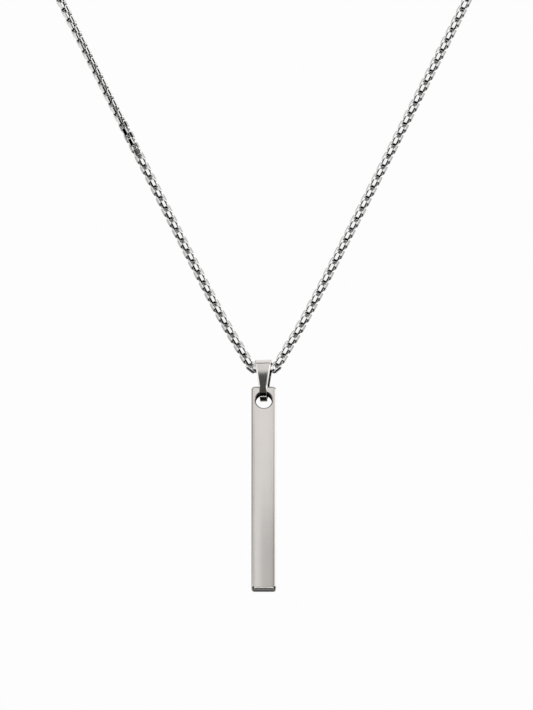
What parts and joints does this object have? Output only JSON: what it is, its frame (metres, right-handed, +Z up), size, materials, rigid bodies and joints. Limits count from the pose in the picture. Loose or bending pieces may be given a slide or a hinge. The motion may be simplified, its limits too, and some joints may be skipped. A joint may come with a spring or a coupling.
{
  "type": "bar pendant necklace",
  "caption": "Plain upright metal bar with a round hole, hung by a tapered strap bail from a link chain in its worn form with a plain barrel clasp.",
  "frame": {"origin": "inner side of the clasp, where the necklace rests against the nape", "axes": "+Z up, +X to the right seen from the front, the pendant's face towards -Y"},
  "size_m": [0.1362, 0.1265, 0.2467],
  "materials": {
    "bar_steel": "polished to a soft shine with a very fine upright grain",
    "bail_steel": "mirror polished stainless steel",
    "chain_steel": "mirror polished stainless steel",
    "clasp_steel": "mirror polished stainless steel"
  },
  "bodies": {
    "necklace": {"chain": "chain_steel", "clasp": "clasp_steel"},
    "bail": {"bail": "bail_steel"},
    "bar": {"bar": "bar_steel"}
  },
  "joints": [
    {"name": "bail_swing", "type": "hinge", "parent": "necklace", "child": "bail", "pos_m": [0, -0.12, -0.19], "axis": [-1, 0, 0], "range_deg": [-75, 75]},
    {"name": "bar_swing", "type": "hinge", "parent": "bail", "child": "bar", "pos_m": [0, -0.12, -0.19808], "axis": [0, 1, 0], "range_deg": [-90, 90]}
  ]
}
